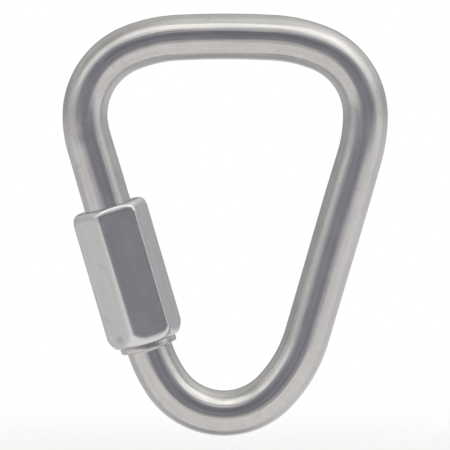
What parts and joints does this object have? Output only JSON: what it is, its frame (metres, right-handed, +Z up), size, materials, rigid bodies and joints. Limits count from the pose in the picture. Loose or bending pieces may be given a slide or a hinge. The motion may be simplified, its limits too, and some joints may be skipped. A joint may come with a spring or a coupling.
{
  "type": "triangular screw link",
  "caption": "Triangular link of round steel bar, closed by a long hexagonal sleeve nut that screws over both threaded ends on its left leg.",
  "frame": {"origin": "middle of the bar at the crown, the top of the loop, where the link hangs", "axes": "+Z up through the crown, X across the loop with the nut's leg on -X, Y through the loop's thickness; -Y is the front"},
  "size_m": [0.0716, 0.0164, 0.0931],
  "materials": {
    "bar_steel": "satin polished",
    "nut_steel": "satin"
  },
  "bodies": {
    "link": {"link_body": "bar_steel"},
    "nut_travel": {"nut_thread": "nut_steel"},
    "sleeve_nut": {"sleeve_nut": "nut_steel"}
  },
  "joints": [
    {"name": "nut_slide", "type": "slide", "parent": "link", "child": "nut_travel", "axis": [-0.2798, 0, 0.96], "range_m": [0, 0.01511]},
    {"name": "nut_turn", "type": "hinge", "parent": "nut_travel", "child": "sleeve_nut", "pos_m": [-0.01686, 0, -0.068], "axis": [-0.2798, 0, 0.96], "range_deg": [0, 4350]}
  ],
  "couplings": [
    {"joint": "nut_slide", "follows": "nut_turn", "m_per_rad": 0.00019894}
  ]
}
